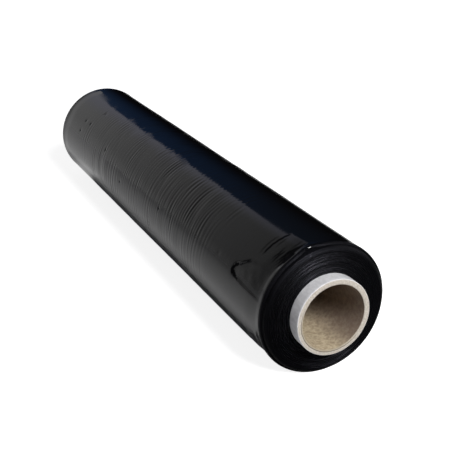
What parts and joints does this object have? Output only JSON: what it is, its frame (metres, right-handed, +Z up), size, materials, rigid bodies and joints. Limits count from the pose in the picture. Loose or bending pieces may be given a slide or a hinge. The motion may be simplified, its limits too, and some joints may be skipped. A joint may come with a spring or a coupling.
{
  "type": "stretch wrap roll",
  "caption": "Hand roll of glossy black stretch wrap wound on a cardboard core that shows past the film at each end, with a through bore for a dispenser spindle.",
  "frame": {"origin": "bottom centre of the bounding box, in the middle of the flat spot that the roll lies on", "axes": "+X along the roll's axis towards its near end, +Z up"},
  "size_m": [0.5216, 0.1014, 0.1011],
  "materials": {
    "core_board": "plain board with a white paper outside",
    "black_film": "glossy wound film"
  },
  "bodies": {
    "root": {"cardboard_core": "core_board", "film_roll": "black_film"}
  },
  "joints": []
}
